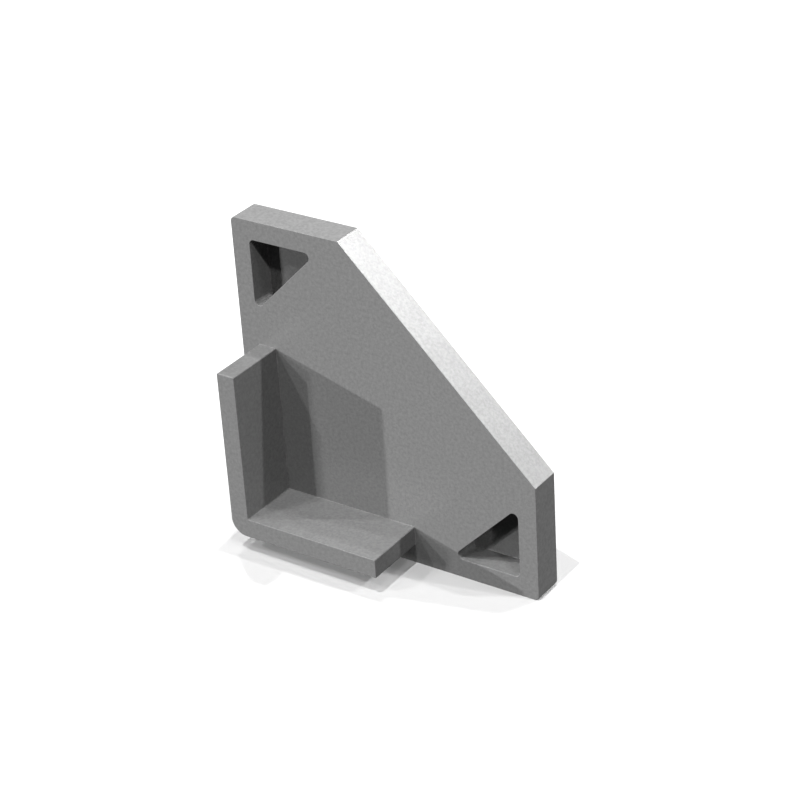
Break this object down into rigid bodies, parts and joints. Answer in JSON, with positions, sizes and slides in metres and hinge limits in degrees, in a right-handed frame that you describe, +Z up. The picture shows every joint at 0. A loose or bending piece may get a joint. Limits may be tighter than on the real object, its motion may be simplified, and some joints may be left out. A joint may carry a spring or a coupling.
{
  "type": "profile end cap",
  "caption": "Moulded end cap for a square corner profile with a diagonal cover: a flat plate with one corner cut at 45 degrees and an angle plug that presses into the profile.",
  "frame": {"origin": "the middle of the plate's square outline, on the face that meets the profile's end", "axes": "+Y out of the plate's plain outer face, -Y along the plug into the profile, +Z up, +X to the right as seen from the plug's side; the plug's bend is at the lower left and the 45 degree cut at the upper right"},
  "size_m": [0.0196, 0.006, 0.0196],
  "materials": {
    "grey_plastic": "plain mid-grey moulded plastic with a fine, even matte texture"
  },
  "bodies": {
    "root": {"end_cap": "grey_plastic"}
  },
  "joints": []
}
